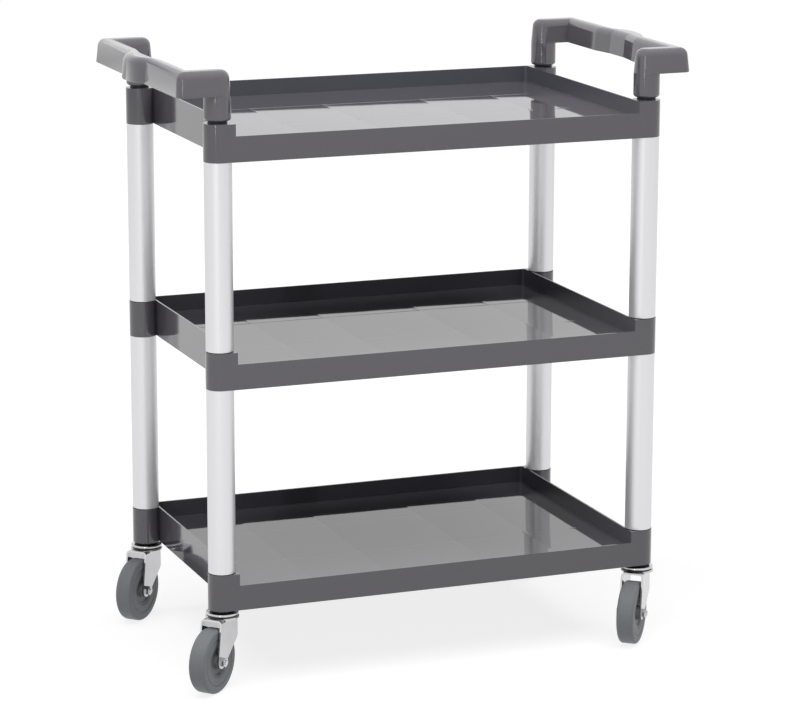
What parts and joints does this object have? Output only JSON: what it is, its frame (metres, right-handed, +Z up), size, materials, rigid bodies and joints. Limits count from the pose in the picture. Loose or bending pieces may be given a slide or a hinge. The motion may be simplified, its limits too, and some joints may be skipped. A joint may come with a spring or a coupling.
{
  "type": "three-tier serving trolley",
  "caption": "Serving trolley with stacked grey moulded trays on aluminium posts, a push handle at each end and free swivel casters.",
  "frame": {"origin": "on the floor, midway between the four posts", "axes": "+Z up; +X along the trolley towards the right-hand handle; -Y towards the side with the low lips"},
  "size_m": [0.858, 0.4941, 0.947],
  "materials": {
    "grey_plastic": "satin moulded, glossy deck",
    "handle_plastic": "satin moulded",
    "aluminium": "satin anodised",
    "black_plastic": "matte",
    "chrome": "bright plated",
    "wheel_rubber": "matte grey"
  },
  "bodies": {
    "frame": {"bottom_shelf": "grey_plastic", "middle_shelf": "grey_plastic", "top_shelf": "grey_plastic", "front_left_tubes": "aluminium", "front_right_tubes": "aluminium", "back_left_tubes": "aluminium", "back_right_tubes": "aluminium", "handles": "handle_plastic", "front_left_top_joiner": "black_plastic", "front_left_middle_joiner": "black_plastic", "front_left_bottom_joiner": "black_plastic", "front_right_top_joiner": "black_plastic", "front_right_middle_joiner": "black_plastic", "front_right_bottom_joiner": "black_plastic", "back_left_top_joiner": "black_plastic", "back_left_middle_joiner": "black_plastic", "back_left_bottom_joiner": "black_plastic", "back_right_top_joiner": "black_plastic", "back_right_middle_joiner": "black_plastic", "back_right_bottom_joiner": "black_plastic", "caster_stems": "chrome"},
    "front_left_swivel": {"front_left_fork": "chrome"},
    "front_left_roller": {"front_left_wheel": "wheel_rubber"},
    "front_right_swivel": {"front_right_fork": "chrome"},
    "front_right_roller": {"front_right_wheel": "wheel_rubber"},
    "back_left_swivel": {"back_left_fork": "chrome"},
    "back_left_roller": {"back_left_wheel": "wheel_rubber"},
    "back_right_swivel": {"back_right_fork": "chrome"},
    "back_right_roller": {"back_right_wheel": "wheel_rubber"}
  },
  "joints": [
    {"name": "front_left_swivel_turn", "type": "hinge", "parent": "frame", "child": "front_left_swivel", "pos_m": [-0.348, -0.198, 0.113], "axis": [0, 0, 1], "continuous": true},
    {"name": "front_left_wheel_spin", "type": "hinge", "parent": "front_left_swivel", "child": "front_left_roller", "pos_m": [-0.37252, -0.22008, 0.05], "axis": [0.6691, -0.7431, 0], "continuous": true},
    {"name": "front_right_swivel_turn", "type": "hinge", "parent": "frame", "child": "front_right_swivel", "pos_m": [0.348, -0.198, 0.113], "axis": [0, 0, 1], "continuous": true},
    {"name": "front_right_wheel_spin", "type": "hinge", "parent": "front_right_swivel", "child": "front_right_roller", "pos_m": [0.32723, -0.22365, 0.05], "axis": [0.7771, -0.6293, 0], "continuous": true},
    {"name": "back_left_swivel_turn", "type": "hinge", "parent": "frame", "child": "back_left_swivel", "pos_m": [-0.348, 0.198, 0.113], "axis": [0, 0, 1], "continuous": true},
    {"name": "back_left_wheel_spin", "type": "hinge", "parent": "back_left_swivel", "child": "back_left_roller", "pos_m": [-0.37174, 0.17508, 0.05], "axis": [0.6947, -0.7193, 0], "continuous": true},
    {"name": "back_right_swivel_turn", "type": "hinge", "parent": "frame", "child": "back_right_swivel", "pos_m": [0.348, 0.198, 0.113], "axis": [0, 0, 1], "continuous": true},
    {"name": "back_right_wheel_spin", "type": "hinge", "parent": "back_right_swivel", "child": "back_right_roller", "pos_m": [0.32592, 0.17348, 0.05], "axis": [0.7431, -0.6691, 0], "continuous": true}
  ]
}
